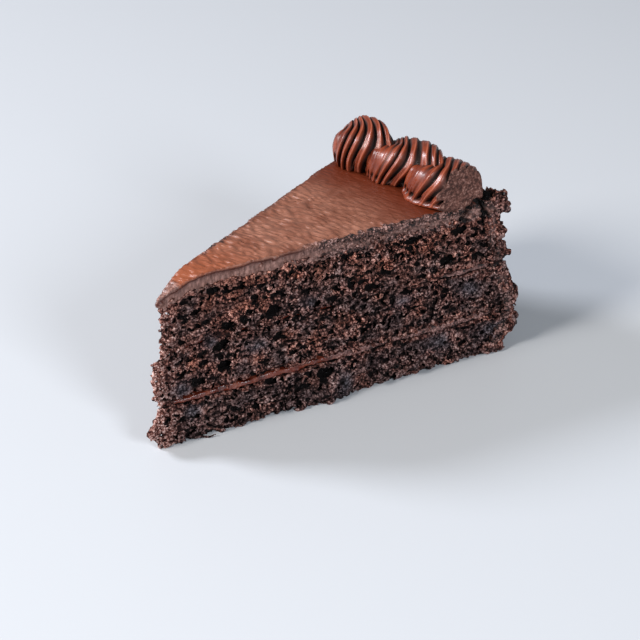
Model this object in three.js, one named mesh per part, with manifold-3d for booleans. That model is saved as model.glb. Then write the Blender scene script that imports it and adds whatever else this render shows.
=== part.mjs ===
// A slice of three-layer chocolate cake: three sponges, two fillings, icing over the top and the crumbed rim,
// and three piped shells along the rim. Millimetres, +Z up. The tip points to -X and the rim to +X.
import * as THREE from "three";
import { mergeVertices } from "three/addons/utils/BufferGeometryUtils.js";
import Module from "manifold-3d";

const wasm = await Module();
wasm.setup();

// Driving sizes
const CAKE_RADIUS = 127; // a 10 inch cake, over its side icing
const SLICES_IN_CAKE = 12;
const CAKE_HEIGHT = 60.4;
const SIDE_ICING = 5;
const TIP_TO_ORIGIN = 65.4; // the cake's centre line lies this far from the origin, towards -X
const ASIDE = 0.5; // and this far towards +Y
const GAP = 0.3; // between pieces that touch
const TIP_RADIUS = 1.5;
const TIP_DROOP = 5.8; // how far the top sinks at the tip
const DROOP_LENGTH = 16; // distance over which that dies away
const RIM_BULGE = { out: 8.5, z: 18, spread: 16 }; // the rim swells low down

// From the plate up. reach is how far the tip stands past the cake's centre line; crag is the relief of its cuts.
const STACK = [
  { name: "sponge_bottom", thick: 14.8, reach: 3.2, crag: 1.0, rows: 4, color: 0x34211c },
  { name: "filling_lower", thick: 2.4, reach: 0.6, crag: 0.5, rows: 1, color: 0x5a2f22 },
  { name: "sponge_middle", thick: 17.6, reach: 3.0, crag: 0.9, rows: 4, color: 0x34211c },
  { name: "filling_upper", thick: 1.8, reach: 1.2, crag: 0.4, rows: 1, color: 0x5a2f22 },
  { name: "sponge_top", thick: 17.6, reach: -1.6, crag: 0.9, rows: 4, color: 0x34211c },
];
const ICING_OVERHANG = -1; // past the centre line, at the tip
const SPONGE_TOP = STACK.reduce((sum, layer) => sum + layer.thick, 0);

const CHUNK = { along: 66, z: 4, wide: 7, high: 5, out: 3.2 }; // a lump that the knife pulled out at the foot
const TIP_CRUMB = { z: 7.4, high: 2.6, out: 3.4 };

const RIM_CRUMBS = { count: 60, small: 1.6, large: 4.2, seed: 11 };
const RIM_CLUMPS = [
  // larger lumps: degrees round from the middle, height, radius, and how far the centre stands off the rim
  { at: -13.6, z: 60.4, size: 3.2, off: -3 },
  { at: -13.3, z: 57.4, size: 4.4, off: 0.4 },
  { at: -14.1, z: 46.5, size: 2.6, off: 1.2 },
  { at: -13.4, z: 39, size: 3.6, off: 0 },
  { at: -13.6, z: 21, size: 4.2, off: -1 },
  { at: -13.6, z: 9, size: 4.2, off: 0.4 },
  { at: 12.5, z: 54, size: 4, off: -0.5 },
  { at: 13.4, z: 26, size: 4.2, off: -1 },
  { at: 4, z: 44, size: 3.6, off: -1 },
  { at: -3, z: 14, size: 4, off: -1 },
];

// The piped shells: barrels that lie along the rim, fluted by a star nozzle. The flutes run from the inner foot over
// the top, and lean along the rim on their way.
const SHELL = { round: 110.3, rise: 4.6, radius: 11, square: 2.1, pitch: 3.9, groove: 1.3 };
const SHELLS = [
  // from the far cut to the near one: degrees round from the middle, lean of the flutes, how much higher it stands
  { name: "piped_shell_1", at: 8.9, lean: 5, lift: 1.5, half_width: 13.4 },
  { name: "piped_shell_2", at: 0.1, lean: 9.5, lift: -0.2, half_width: 12.8 },
  { name: "piped_shell_3", at: -11.1, lean: 10, lift: -0.5, half_width: 14.6 },
];

const ICING_COLOR = 0x6b3a2a;
const SHELL_COLOR = 0x5c2c1f;

const halfAngle = Math.PI / SLICES_IN_CAKE;
const smooth = (t) => t * t * (3 - 2 * t);
const clamp01 = (t) => Math.min(1, Math.max(0, t));
const bell = (x, middle, spread) => Math.exp(-(((x - middle) / spread) ** 2));

// Seeded random draws, each from 0 to 1
function draws(seed) {
  let state = seed;
  return () => {
    state = (state * 16807) % 2147483647;
    return state / 2147483647;
  };
}

// Smooth noise from -1 to 1 with one feature for each unit of x and y
function noise(x, y, seed) {
  const corner = (i, j) => {
    const s = Math.sin(i * 127.1 + j * 311.7 + seed * 74.7) * 43758.5453;
    return 2 * (s - Math.floor(s)) - 1;
  };
  const [i, j] = [Math.floor(x), Math.floor(y)];
  const [fx, fy] = [smooth(x - i), smooth(y - j)];
  const low = corner(i, j) * (1 - fx) + corner(i + 1, j) * fx;
  const high = corner(i, j + 1) * (1 - fx) + corner(i + 1, j + 1) * fx;
  return low * (1 - fy) + high * fy;
}

// Height of a level surface of the cake above its foot: level everywhere but at the sunken tip
function levelAt(level, x) {
  const sink = Math.max(0, 1 - x / DROOP_LENGTH) ** 1.4;
  return level - TIP_DROOP * (level / CAKE_HEIGHT) ** 2 * sink;
}

// Radius of the iced rim at a height, before its crumbs
const rimAt = (z) => CAKE_RADIUS + RIM_BULGE.out * bell(z, RIM_BULGE.z, RIM_BULGE.spread);

// Relief of a cut face, outwards, from where a point lies along the cut and its height
function cragAt(along, z, side, depth) {
  const fade = smooth(clamp01(along / 14));
  const fine = noise(along / 4.6, z / 3.8, side + 3);
  const broad = noise(along / 17, z / 9, side + 8);
  const chunk = side < 0 ? CHUNK.out * bell(along, CHUNK.along, CHUNK.wide) * bell(z, CHUNK.z, CHUNK.high) : 0;
  return fade * (depth * (0.75 * fine + 0.5 * broad) + chunk);
}

// A closed grid over a wedge: stations from tip to rim, columns from the near cut (-Y) to the far one, rows from
// foot to top. at(t, c, f) gives the point at shares t, c and f (each 0 to 1) of those three ways.
function wedgeGeometry(stations, columns, rows, at) {
  const points = [];
  const faces = [];
  const place = (i, j, k) => {
    points.push(...at(i / stations, j / columns, k / rows));
    return points.length / 3 - 1;
  };
  const quad = (a, b, c, d) => faces.push(a, b, c, a, c, d);
  const around = [];
  for (let i = 0; i < stations; i++) around.push([i, 0]);
  for (let j = 0; j < columns; j++) around.push([stations, j]);
  for (let i = stations; i > 0; i--) around.push([i, columns]);
  for (let j = columns; j > 0; j--) around.push([0, j]);

  const key = (i, j) => i * (columns + 1) + j;
  const cap = (k) => {
    const placed = [];
    for (let i = 0; i <= stations; i++) {
      for (let j = 0; j <= columns; j++) placed.push(place(i, j, k));
    }
    return placed;
  };
  const foot = cap(0);
  const top = cap(rows);
  for (let i = 0; i < stations; i++) {
    for (let j = 0; j < columns; j++) {
      const corners = [key(i, j), key(i + 1, j), key(i + 1, j + 1), key(i, j + 1)];
      quad(...corners.map((corner) => top[corner]));
      quad(...corners.map((corner) => foot[corner]).reverse());
    }
  }

  const edge = (placed) => around.map(([i, j]) => placed[key(i, j)]);
  const levels = [edge(foot)];
  for (let k = 1; k < rows; k++) levels.push(around.map(([i, j]) => place(i, j, k)));
  levels.push(edge(top));
  for (let k = 0; k < rows; k++) {
    const [low, high] = [levels[k], levels[k + 1]];
    for (let n = 0; n < around.length; n++) {
      const next = (n + 1) % around.length;
      quad(low[n], low[next], high[next], high[n]);
    }
  }
  return gridGeometry(points, faces);
}

function gridGeometry(points, faces) {
  const geometry = new THREE.BufferGeometry();
  geometry.setAttribute("position", new THREE.Float32BufferAttribute(points, 3));
  geometry.setIndex(faces);
  return geometry;
}

// Plan position of a wedge point: t runs from tip to rim, c across from -1 (near cut) to 1 (far cut).
// out moves the cut faces outwards, and reach moves the tip past the centre line.
function planPoint(t, c, rim, reach, out, half = halfAngle) {
  const r = TIP_RADIUS + (rim - TIP_RADIUS) * t ** 1.2;
  const angle = half * c;
  const tip = smooth(clamp01(1 - (r - TIP_RADIUS) / 9));
  const x = r * Math.cos(angle) - c * out * Math.sin(angle) - (reach + TIP_RADIUS) * tip;
  const y = r * Math.sin(angle) + c * out * Math.cos(angle);
  return [x, y, r];
}

// three.js geometry to a closed solid for joins and cuts, without the faces that a grid folds away at its poles
function solidOf(geometry) {
  const bare = geometry.clone();
  bare.deleteAttribute("normal");
  bare.deleteAttribute("uv");
  const merged = mergeVertices(bare, 1e-4);
  const corners = merged.index.array;
  const faces = [];
  for (let n = 0; n < corners.length; n += 3) {
    const face = [corners[n], corners[n + 1], corners[n + 2]];
    if (new Set(face).size === 3) faces.push(...face);
  }
  return new wasm.Manifold(
    new wasm.Mesh({
      numProp: 3,
      vertProperties: new Float32Array(merged.attributes.position.array),
      triVerts: new Uint32Array(faces),
    }),
  );
}

// The largest body of a solid, back in three.js form
function geometryOf(solid) {
  const [largest] = solid.decompose().sort((a, b) => b.volume() - a.volume());
  const mesh = largest.getMesh();
  return gridGeometry(Array.from(mesh.vertProperties), Array.from(mesh.triVerts));
}

// One layer of the stack: a wedge between two levels, with crags on its cut faces
function layerGeometry(layer, base) {
  const top = base + layer.thick;
  const isSponge = layer.rows > 1;
  return wedgeGeometry(24, 4, layer.rows, (t, share, f) => {
    const c = 2 * share - 1;
    const level = base + layer.thick * f;
    const onCut = Math.abs(c) === 1;
    const crumb = base === 0 ? TIP_CRUMB.out * bell(level, TIP_CRUMB.z, TIP_CRUMB.high) : 0;
    const edge = isSponge ? 0.55 + 0.45 * Math.sin(Math.PI * f) : 0.4; // layers belly out between the fillings
    const crag = onCut ? cragAt(CAKE_RADIUS * t, level, c, layer.crag) : 0;
    const recess = isSponge ? 0 : -0.8 * smooth(clamp01((CAKE_RADIUS * t) / 20));
    const [x, y] = planPoint(t, c, rimAt(level) - SIDE_ICING - GAP, layer.reach * edge + crumb, crag + recess);
    const foot = base === 0 ? 0 : levelAt(base, x) + GAP / 2;
    const head = levelAt(top, x) - GAP / 2;
    return [x, y, foot + (head - foot) * f];
  });
}

// The outside of the iced cake, rim swell and waves included. spread makes the wedge wider than the slice.
function outsideGeometry(rise, spread = 1) {
  const rows = 12;
  return wedgeGeometry(24, 10, rows, (t, share, f) => {
    const c = 2 * share - 1;
    const level = CAKE_HEIGHT * f;
    const onRim = t === 1;
    const rounding = 2.4 * clamp01((f - 1 + 1.5 / rows) * rows) ** 2; // of the rim's top edge
    const waves = 1.3 * noise(c * 6, level / 7, 5) + 0.8 * noise(c * 11, level / 4, 6);
    const rim = rimAt(level) + (onRim && f < 1 ? waves : 0) - rounding;
    const crag = Math.abs(c) === 1 ? cragAt(CAKE_RADIUS * t, level, c, 0.35) : 0;
    const [x, y] = planPoint(t, c, rim, ICING_OVERHANG * f ** 4, crag, halfAngle * spread);
    const head = levelAt(CAKE_HEIGHT, x) + 0.25 * noise(x / 15, y / 12, 4) + rise;
    return [x, y, head * f];
  });
}

// What the icing is hollowed out by: the stack, run out past both cuts, the tip and the foot
function coreGeometry() {
  return wedgeGeometry(24, 12, 18, (t, share, f) => {
    const c = 2 * share - 1;
    const level = SPONGE_TOP * (1.06 * f - 0.06);
    const [x, y] = planPoint(t, c, rimAt(level) - SIDE_ICING, 20, 6, halfAngle * 1.2);
    return [x, y, f < 1 ? level : levelAt(SPONGE_TOP, x) + GAP / 2];
  });
}

// A rough lump of crumb
function crumbSolid(size, detail, place, random) {
  const geometry = new THREE.IcosahedronGeometry(size, detail);
  const position = geometry.attributes.position;
  const seed = 1 + Math.floor(90 * random());
  const stretch = [0.8 + 0.5 * random(), 0.8 + 0.5 * random(), 0.7 + 0.4 * random()];
  for (let n = 0; n < position.count; n++) {
    const p = new THREE.Vector3().fromBufferAttribute(position, n);
    const bump = 1 + 0.28 * noise(2 * p.x + seed, 2 * p.y - p.z, seed);
    position.setXYZ(n, p.x * stretch[0] * bump, p.y * stretch[1] * bump, p.z * stretch[2] * bump);
  }
  geometry.applyMatrix4(place);
  return solidOf(geometry);
}

// Crumbs pressed into the rim, all over and at random, and the larger clumps where they stand
function rimCrumbs() {
  const random = draws(RIM_CRUMBS.seed);
  const onRim = (degrees, z, off) => {
    const angle = THREE.MathUtils.degToRad(degrees);
    const r = rimAt(z) + off;
    return new THREE.Matrix4().makeTranslation(r * Math.cos(angle), r * Math.sin(angle), z);
  };
  const lumps = RIM_CLUMPS.map(({ at, z, size, off }) => crumbSolid(size, 1, onRim(at, z, off), random));
  for (let n = 0; n < RIM_CRUMBS.count; n++) {
    const size = RIM_CRUMBS.small + (RIM_CRUMBS.large - RIM_CRUMBS.small) * random() ** 2.5;
    const z = size + (CAKE_HEIGHT - 2 * size) * ((n * 0.618) % 1);
    const degrees = 13.4 * (2 * ((n + 0.5) / RIM_CRUMBS.count) - 1) + 0.8 * (random() - 0.5);
    lumps.push(crumbSolid(size, 0, onRim(degrees, z, -size * 0.3), random));
  }
  return lumps;
}

function icingGeometry() {
  const icing = rimCrumbs().reduce((joined, lump) => joined.add(lump), solidOf(outsideGeometry(0)));
  const slab = new THREE.BoxGeometry(400, 400, 40).translate(0, 0, -20);
  return geometryOf(icing.subtract(solidOf(coreGeometry())).subtract(solidOf(slab)));
}

// How far along its axis a flute has moved at a turn from the inner foot
const flutePath = (turn, lean) => lean * Math.sin(1.05 * (turn + 0.45));

// One piped shell. Columns of the grid follow the flutes: four to a flute, with a sharp crest at each fourth one.
function shellSolid({ at, lean, lift, half_width }, grow = 0) {
  const turns = 26;
  const first = -Math.ceil((half_width + lean) / SHELL.pitch) * 4;
  const steps = Math.ceil((2 * half_width + 2 * lean) / SHELL.pitch + 1) * 4;
  const points = [];
  const faces = [];
  for (let i = 0; i < turns; i++) {
    const turn = 2 * Math.PI * (i / turns) - 0.5 * Math.PI;
    for (let j = 0; j <= steps; j++) {
      const along = ((first + j) * SHELL.pitch) / 4 + flutePath(turn, lean);
      const share = Math.min(1, Math.max(-1, along / half_width));
      const body = (1 - Math.abs(share) ** SHELL.square) ** (1 / SHELL.square);
      const valley = Math.abs(Math.sin((Math.PI * (first + j)) / 4)) ** 0.7;
      const out = body > 0 ? SHELL.radius * body - SHELL.groove * valley * Math.sqrt(body) + grow : 0;
      points.push(-out * Math.cos(turn), -share * (half_width + grow), out * Math.sin(turn));
    }
  }
  for (let i = 0; i < turns; i++) {
    const next = (i + 1) % turns;
    for (let j = 0; j < steps; j++) {
      const [a, b] = [i * (steps + 1) + j, next * (steps + 1) + j];
      faces.push(a, a + 1, b + 1, a, b + 1, b);
    }
  }
  const angle = THREE.MathUtils.degToRad(at);
  const geometry = gridGeometry(points, faces);
  geometry.rotateZ(angle);
  geometry.translate(SHELL.round * Math.cos(angle), SHELL.round * Math.sin(angle), CAKE_HEIGHT + SHELL.rise + lift);
  return solidOf(geometry);
}

// The shells stand on the icing, end at the cuts, and each gives way to the next one
function shellGeometries() {
  const below = solidOf(outsideGeometry(GAP, 1.4));
  const wedge = solidOf(
    wedgeGeometry(1, 4, 1, (t, share, f) => {
      const [x, y] = planPoint(t, 2 * share - 1, CAKE_RADIUS * 1.2, 0, 0);
      return [x, y, CAKE_HEIGHT * (0.5 + f)];
    }),
  );
  return SHELLS.map((shell, n) => {
    let solid = shellSolid(shell).subtract(below).intersect(wedge);
    if (SHELLS[n + 1]) solid = solid.subtract(shellSolid(SHELLS[n + 1], GAP));
    return geometryOf(solid);
  });
}

function piece(name, geometry, color, roughness) {
  const flat = geometry.translate(-TIP_TO_ORIGIN, ASIDE, 0).toNonIndexed();
  flat.computeVertexNormals();
  const mesh = new THREE.Mesh(flat, new THREE.MeshStandardMaterial({ color, roughness, metalness: 0 }));
  mesh.name = name;
  return mesh;
}

const slice = new THREE.Group();
slice.name = "chocolate_cake_slice";
let base = 0;
for (const layer of STACK) {
  slice.add(piece(layer.name, layerGeometry(layer, base), layer.color, 0.9));
  base += layer.thick;
}
slice.add(piece("icing", icingGeometry(), ICING_COLOR, 0.45));
shellGeometries().forEach((geometry, n) => slice.add(piece(SHELLS[n].name, geometry, SHELL_COLOR, 0.35)));

export default slice;
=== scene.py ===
import math
from functools import partial, reduce

import bpy
import numpy as np
import openvdb as vdb
from mathutils import Matrix, Vector


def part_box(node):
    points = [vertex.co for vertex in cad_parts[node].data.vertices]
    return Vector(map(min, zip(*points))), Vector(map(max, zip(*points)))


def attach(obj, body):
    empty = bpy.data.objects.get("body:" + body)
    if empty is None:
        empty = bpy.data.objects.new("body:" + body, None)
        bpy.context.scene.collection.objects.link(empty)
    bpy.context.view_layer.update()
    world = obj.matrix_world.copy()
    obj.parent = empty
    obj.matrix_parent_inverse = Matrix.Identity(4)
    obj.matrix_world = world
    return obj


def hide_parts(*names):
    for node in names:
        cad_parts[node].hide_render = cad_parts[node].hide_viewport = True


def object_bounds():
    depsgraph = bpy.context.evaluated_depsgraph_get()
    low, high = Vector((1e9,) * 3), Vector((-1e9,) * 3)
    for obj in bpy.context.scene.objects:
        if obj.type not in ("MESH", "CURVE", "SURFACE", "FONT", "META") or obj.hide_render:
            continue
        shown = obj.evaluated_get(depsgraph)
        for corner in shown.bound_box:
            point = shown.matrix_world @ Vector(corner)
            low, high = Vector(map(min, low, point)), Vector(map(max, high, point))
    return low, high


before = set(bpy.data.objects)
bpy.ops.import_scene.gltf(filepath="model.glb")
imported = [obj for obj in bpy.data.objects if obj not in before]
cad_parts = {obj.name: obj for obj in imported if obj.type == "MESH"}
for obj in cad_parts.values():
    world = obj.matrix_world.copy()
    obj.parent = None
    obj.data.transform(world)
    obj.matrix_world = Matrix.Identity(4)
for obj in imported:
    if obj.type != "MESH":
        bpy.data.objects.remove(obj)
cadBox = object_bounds()
mm = 0.001

# The cake in millimetres: x runs from its centre line towards the rim, and z up from the plate.
cake = {
    "slices": 12,
    "radius": 127.0,
    "height": 60.4,
    "sideIcing": 5.0,
    "gap": 0.3,
    "centreToOrigin": 65.4,
    "aside": 0.5,
    "tipRound": 1.5,
    "tipRun": 9.0,
    "droop": 5.8,
    "droopLength": 16.0,
    "bulge": 8.5,
    "bulgeAt": 18.0,
    "bulgeSpread": 16.0,
    # a crack in the near cut: distance from the tip, height, half width, half height and depth
    "crack": {"at": 117.0, "z": 57.0, "wide": 4.2, "high": 3.8, "deep": 4.5},
}
halfAngle = math.pi / cake["slices"]
toRow = np.array([-cake["centreToOrigin"], cake["aside"], 0.0])

# Camera, floor and light

studio = {
    "azimuth": -43.17,
    "elevation": 30.24,
    "distance": 606.3,
    "target": (-1.41, -5.58, 25.0),
    "lens": 101.25,
    "floorSize": 3000.0,
    "floorColour": "#babec2",
    "skyColour": "#e8ecf2",
    "skyStrength": 0.22,
    # where each lamp stands (mm), how wide it is (mm), its power (W) and colour
    "window": {"at": (-1560, 250, 1150), "wide": 620, "power": 40.0, "colour": "#fff9f4"},
    "back": {"at": (-900, 1350, 1050), "wide": 560, "power": 42.0, "colour": "#f4f6ff"},
    "fill": {"at": (-250, -1600, 850), "wide": 600, "power": 26.0, "colour": "#f4f8ff"},
}


def linear(hexColour):
    parts = [int(hexColour[i : i + 2], 16) / 255 for i in (1, 3, 5)]
    return (*[c / 12.92 if c <= 0.04045 else ((c + 0.055) / 1.055) ** 2.4 for c in parts], 1.0)


# A material, and the function that adds nodes to it
def newMaterial(name):
    material = bpy.data.materials.new(name)
    material.use_nodes = True
    material.node_tree.nodes.clear()
    return material, partial(addNode, material.node_tree)


# Adds one node. inputs holds values, or the nodes or sockets that feed them, by the socket's name or number;
# stops are a ramp's shares and colours.
def addNode(tree, kind, inputs=None, stops=None, **settings):
    node = tree.nodes.new("ShaderNode" + kind)
    for name, value in settings.items():
        setattr(node, name, value)
    for name, value in (inputs or {}).items():
        named = (each for each in node.inputs if each.name == name and each.enabled)
        socket = node.inputs[name] if isinstance(name, int) else next(named)
        if isinstance(value, bpy.types.Node):
            value = next(each for each in value.outputs if each.enabled)
        if isinstance(value, bpy.types.NodeSocket):
            tree.links.new(value, socket)
        else:
            socket.default_value = linear(value) if isinstance(value, str) else value
    if stops:
        stops = list(stops)
        elements = node.color_ramp.elements
        while len(elements) < len(stops):
            elements.new(0.5)
        for element, (place, value) in zip(elements, stops):
            element.position = place
            element.color = linear(value) if isinstance(value, str) else (value, value, value, 1.0)
    return node


def lookBack():
    azimuth, elevation = math.radians(studio["azimuth"]), math.radians(studio["elevation"])
    flat = math.cos(elevation)
    return Vector((math.sin(azimuth) * flat, -math.cos(azimuth) * flat, math.sin(elevation)))


def makeStudio():
    scene = bpy.context.scene
    data = bpy.data.cameras.new("camera")
    data.lens = studio["lens"]
    data.sensor_width = 36.0
    data.clip_start, data.clip_end = 0.01, 20.0
    camera = bpy.data.objects.new("camera", data)
    camera.location = (Vector(studio["target"]) + lookBack() * studio["distance"]) * mm
    camera.rotation_euler = lookBack().to_track_quat("Z", "Y").to_euler()
    scene.collection.objects.link(camera)
    scene.camera = camera

    half = studio["floorSize"] / 2 * mm
    corners = [(-half, -half, 0), (half, -half, 0), (half, half, 0), (-half, half, 0)]
    mesh = bpy.data.meshes.new("floor")
    mesh.from_pydata(corners, [], [(0, 1, 2, 3)])
    floor = bpy.data.objects.new("floor", mesh)
    scene.collection.objects.link(floor)
    paper, add = newMaterial("paleStudioFloor")  # smooth card, with a faint sheen
    shader = add("BsdfPrincipled", {"Base Color": studio["floorColour"], "Roughness": 0.4})
    add("OutputMaterial", {"Surface": shader})
    mesh.materials.append(paper)

    for name in ("window", "back", "fill"):
        lamp = studio[name]
        light = bpy.data.lights.new(name, "AREA")
        light.shape = "DISK"
        light.size = lamp["wide"] * mm
        light.energy = lamp["power"]
        light.color = linear(lamp["colour"])[:3]
        holder = bpy.data.objects.new(name, light)
        holder.location = Vector(lamp["at"]) * mm
        holder.rotation_euler = Vector(lamp["at"]).to_track_quat("Z", "Y").to_euler()
        scene.collection.objects.link(holder)

    world = bpy.data.worlds.new("softSky")
    world.use_nodes = True
    sky = world.node_tree.nodes["Background"]
    sky.inputs["Color"].default_value = linear(studio["skyColour"])
    sky.inputs["Strength"].default_value = studio["skyStrength"]
    scene.world = world
    scene.view_settings.view_transform = "Standard"


makeStudio()
print("studio ready")

# Shapes on a voxel grid


def smooth(t):
    return t * t * (3 - 2 * t)


def clamp01(t):
    return np.clip(t, 0.0, 1.0)


# From 0 to 1 with soft ends
def ease(t):
    return smooth(clamp01(t))


# Fields are below 0 inside a shape. common is what lies inside all of them, and joined what lies inside any.
def common(*fields):
    return reduce(np.maximum, fields)


def joined(*fields):
    return reduce(np.minimum, fields)


def bell(x, middle, spread):
    return np.exp(-(((x - middle) / spread) ** 2))


# The corners of a node in cake millimetres
def nodeBox(name, margin):
    low, high = [np.array(corner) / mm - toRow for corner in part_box(name)]
    return low - margin, high + margin


# A block of voxels, with its axes shaped so that numpy spreads them
def voxelBlock(low, high, step):
    axes = [np.arange(a, b + step, step, dtype=np.float32) for a, b in zip(low, high)]
    return {
        "low": np.array(low, np.float32),
        "step": step,
        "axes": axes,
        "shape": tuple(len(axis) for axis in axes),
        "x": axes[0][:, None, None],
        "y": axes[1][None, :, None],
        "z": axes[2][None, None, :],
    }


def placesOf(block):
    return block["x"], block["y"], block["z"]


def along(axis, values):
    spread = [1, 1, 1]
    spread[axis] = -1
    return np.asarray(values, np.float32).reshape(spread)


# Smooth noise from -1 to 1, with one feature for each size (mm) along x, y and z
def blockNoise(block, size, seed):
    sizes = size if isinstance(size, tuple) else (size,) * 3
    counts = [int(n * block["step"] / s) + 3 for n, s in zip(block["shape"], sizes)]
    values = np.random.default_rng(seed).uniform(-1, 1, counts).astype(np.float32)
    for axis in range(3):
        place = np.arange(block["shape"][axis]) * block["step"] / sizes[axis]
        whole = place.astype(int)
        share = along(axis, smooth(place - whole))
        values = values.take(whole, axis) * (1 - share) + values.take(whole + 1, axis) * share
    return values


def warpOf(block, size, depth, seed):
    return [depth * blockNoise(block, size, seed + axis) for axis in range(3)]


# Distance to the nearest of many bent ellipsoids; places has a row for each: x, y, z, radius, three stretches
def lumpField(block, places, warp):
    field = np.full(block["shape"], 9.0, np.float32)
    step, low = block["step"], block["low"]
    for row in places:
        centre, radius, stretch = row[:3], row[3], row[4:]
        reach = radius * stretch + 2.5 * step
        first = np.maximum(((centre - reach - low) / step).astype(int), 0)
        last = np.minimum(((centre + reach - low) / step).astype(int) + 2, block["shape"])
        if np.any(last <= first):
            continue
        part = tuple(slice(a, b) for a, b in zip(first, last))
        away = 0.0
        for axis in range(3):
            line = along(axis, block["axes"][axis][part[axis]] - centre[axis])
            away = away + ((line + warp[axis][part]) / stretch[axis]) ** 2
        np.minimum(field[part], np.sqrt(away) - radius, out=field[part])
    return field


def surfaceOf(block, field, adaptivity):
    limit = 3 * block["step"]
    grid = vdb.FloatGrid(background=limit)
    grid.copyFromArray(np.ascontiguousarray(np.clip(field, -limit, limit), np.float32))
    points, triangles, quads = grid.convertToPolygons(isovalue=0.0, adaptivity=adaptivity)
    return largestIsland(points * block["step"] + block["low"], triangles, quads)


# Keeps the largest joined part of a surface: no speck floats, and no sealed bubble stays inside
def largestIsland(points, triangles, quads):
    label = np.arange(len(points))
    pairs = [quads[:, [0, 1]], quads[:, [1, 2]], quads[:, [2, 3]]]
    pairs += [triangles[:, [0, 1]], triangles[:, [1, 2]]]
    edges = np.concatenate(pairs).astype(np.int64)
    while True:
        lower = np.minimum(label[edges[:, 0]], label[edges[:, 1]])
        before = label.copy()
        np.minimum.at(label, edges[:, 0], lower)
        np.minimum.at(label, edges[:, 1], lower)
        label = label[label]
        if np.array_equal(before, label):
            break
    names, counts = np.unique(label, return_counts=True)
    kept = label == names[counts.argmax()]
    place = np.cumsum(kept) - 1
    return points[kept], place[triangles[kept[triangles[:, 0]]]], place[quads[kept[quads[:, 0]]]]


# How far each voxel lies outside the box of the solids
def outsideBox(block):
    low, high = [np.array(corner) / mm - toRow for corner in cadBox]
    x, y = block["x"], block["y"]
    return common(low[0] + 0.1 - x, x - high[0] + 0.1, low[1] + 0.1 - y, y - high[1] + 0.1)


# Share of each voxel's surroundings, within reach (mm), that is solid: high in pits and low on what juts out
def shutIn(block, body, reach):
    solid = (body < 0).astype(np.float32)
    n = max(1, round(reach / block["step"]))
    for axis in range(3):
        margins = [(n + 1, n) if each == axis else (0, 0) for each in range(3)]
        total = np.cumsum(np.pad(solid, margins, "edge"), axis)
        size = solid.shape[axis]
        ends = [total.take(np.arange(size) + shift, axis) for shift in (2 * n + 1, 0)]
        solid = (ends[0] - ends[1]) / (2 * n + 1)
    return solid


# Values of a field at points, for the shares that materials mix by
def sampleAt(block, field, points):
    index = np.rint((points - block["low"]) / block["step"]).astype(int)
    index = np.clip(index, 0, np.array(block["shape"]) - 1)
    return np.broadcast_to(field, block["shape"])[index[:, 0], index[:, 1], index[:, 2]]


def meshObject(name, points, triangles, quads):
    mesh = bpy.data.meshes.new(name)
    mesh.vertices.add(len(points))
    mesh.vertices.foreach_set("co", ((points + toRow) * mm).astype(np.float32).ravel())
    corners = np.concatenate([triangles.ravel(), quads.ravel()]).astype(np.int32)
    threes = np.arange(len(triangles)) * 3
    fours = len(triangles) * 3 + np.arange(len(quads)) * 4
    mesh.loops.add(len(corners))
    mesh.loops.foreach_set("vertex_index", corners)
    mesh.polygons.add(len(triangles) + len(quads))
    mesh.polygons.foreach_set("loop_start", np.concatenate([threes, fours]).astype(np.int32))
    mesh.update(calc_edges=True)
    mesh.polygons.foreach_set("use_smooth", np.ones(len(mesh.polygons), bool))
    piece = bpy.data.objects.new(name, mesh)
    bpy.context.scene.collection.objects.link(piece)
    return piece


# The surface of a field as an object, and its points in cake millimetres
def pieceOf(name, block, field, flatten):
    points, triangles, quads = surfaceOf(block, field, flatten)
    points[:, 2] = np.maximum(points[:, 2], 0)
    return meshObject(name, points, triangles, quads), points


# Named values from 0 to 1 at a piece's points, which its material mixes by
def addShares(piece, shares):
    for name, values in shares.items():
        data = piece.data.attributes.new(name, "FLOAT", "POINT")
        data.data.foreach_set("value", np.ascontiguousarray(values, np.float32))


def dress(piece, node, material):
    piece.data.materials.append(material)
    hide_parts(node)
    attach(piece, "root")
    count = sum(len(face.vertices) - 2 for face in piece.data.polygons)
    print(piece.name, "ready:", count, "triangles")


# The form of the cake


# Smooth noise from -1 to 1 with one feature for each unit of x and y
def planNoise(x, y, seed):
    def corner(i, j):
        s = np.sin(i * 127.1 + j * 311.7 + seed * 74.7) * 43758.5453
        return 2 * (s - np.floor(s)) - 1

    x, y = np.asarray(x, float), np.asarray(y, float)
    i, j = np.floor(x), np.floor(y)
    fx, fy = smooth(x - i), smooth(y - j)
    low = corner(i, j) * (1 - fx) + corner(i + 1, j) * fx
    high = corner(i, j + 1) * (1 - fx) + corner(i + 1, j + 1) * fx
    return (low * (1 - fy) + high * fy).astype(np.float32)


def rimAt(z):
    return cake["radius"] + cake["bulge"] * bell(z, cake["bulgeAt"], cake["bulgeSpread"])


# How far a voxel lies outside the round side of the sponges and the cream
def outsideSide(block):
    x, y = block["x"], block["y"]
    return np.sqrt(x * x + y * y) - (rimAt(block["z"]) - cake["sideIcing"] - cake["gap"])


# The level that a point belongs to: levels sink towards the tip
def levelOf(x, z):
    sink = cake["droop"] / cake["height"] ** 2 * np.maximum(0, 1 - x / cake["droopLength"]) ** 1.4
    return 2 * z / (1 + np.sqrt(np.maximum(1 - 4 * sink * z, 0)))


# How far a voxel lies outside the two cuts and the tip, which reaches past the centre line by reachAt(level)
def cutDistance(block, level, reachAt):
    r = cake["tipRound"] + np.linspace(0, 1, 500) ** 2 * cake["radius"] * 1.15
    tip = ease(1 - (r - cake["tipRound"]) / cake["tipRun"])
    middle = level[level.shape[0] // 2, 0, :]
    width = np.empty(level.shape, np.float32)
    reach = reachAt(middle)
    for k in range(level.shape[2]):
        stations = r * math.cos(halfAngle) - (reach[k] + cake["tipRound"]) * tip
        width[:, 0, k] = np.interp(block["axes"][0], stations, r * math.sin(halfAngle))
    return (np.abs(block["y"]) - width) * math.cos(halfAngle), -along(2, reach) - block["x"]


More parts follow.
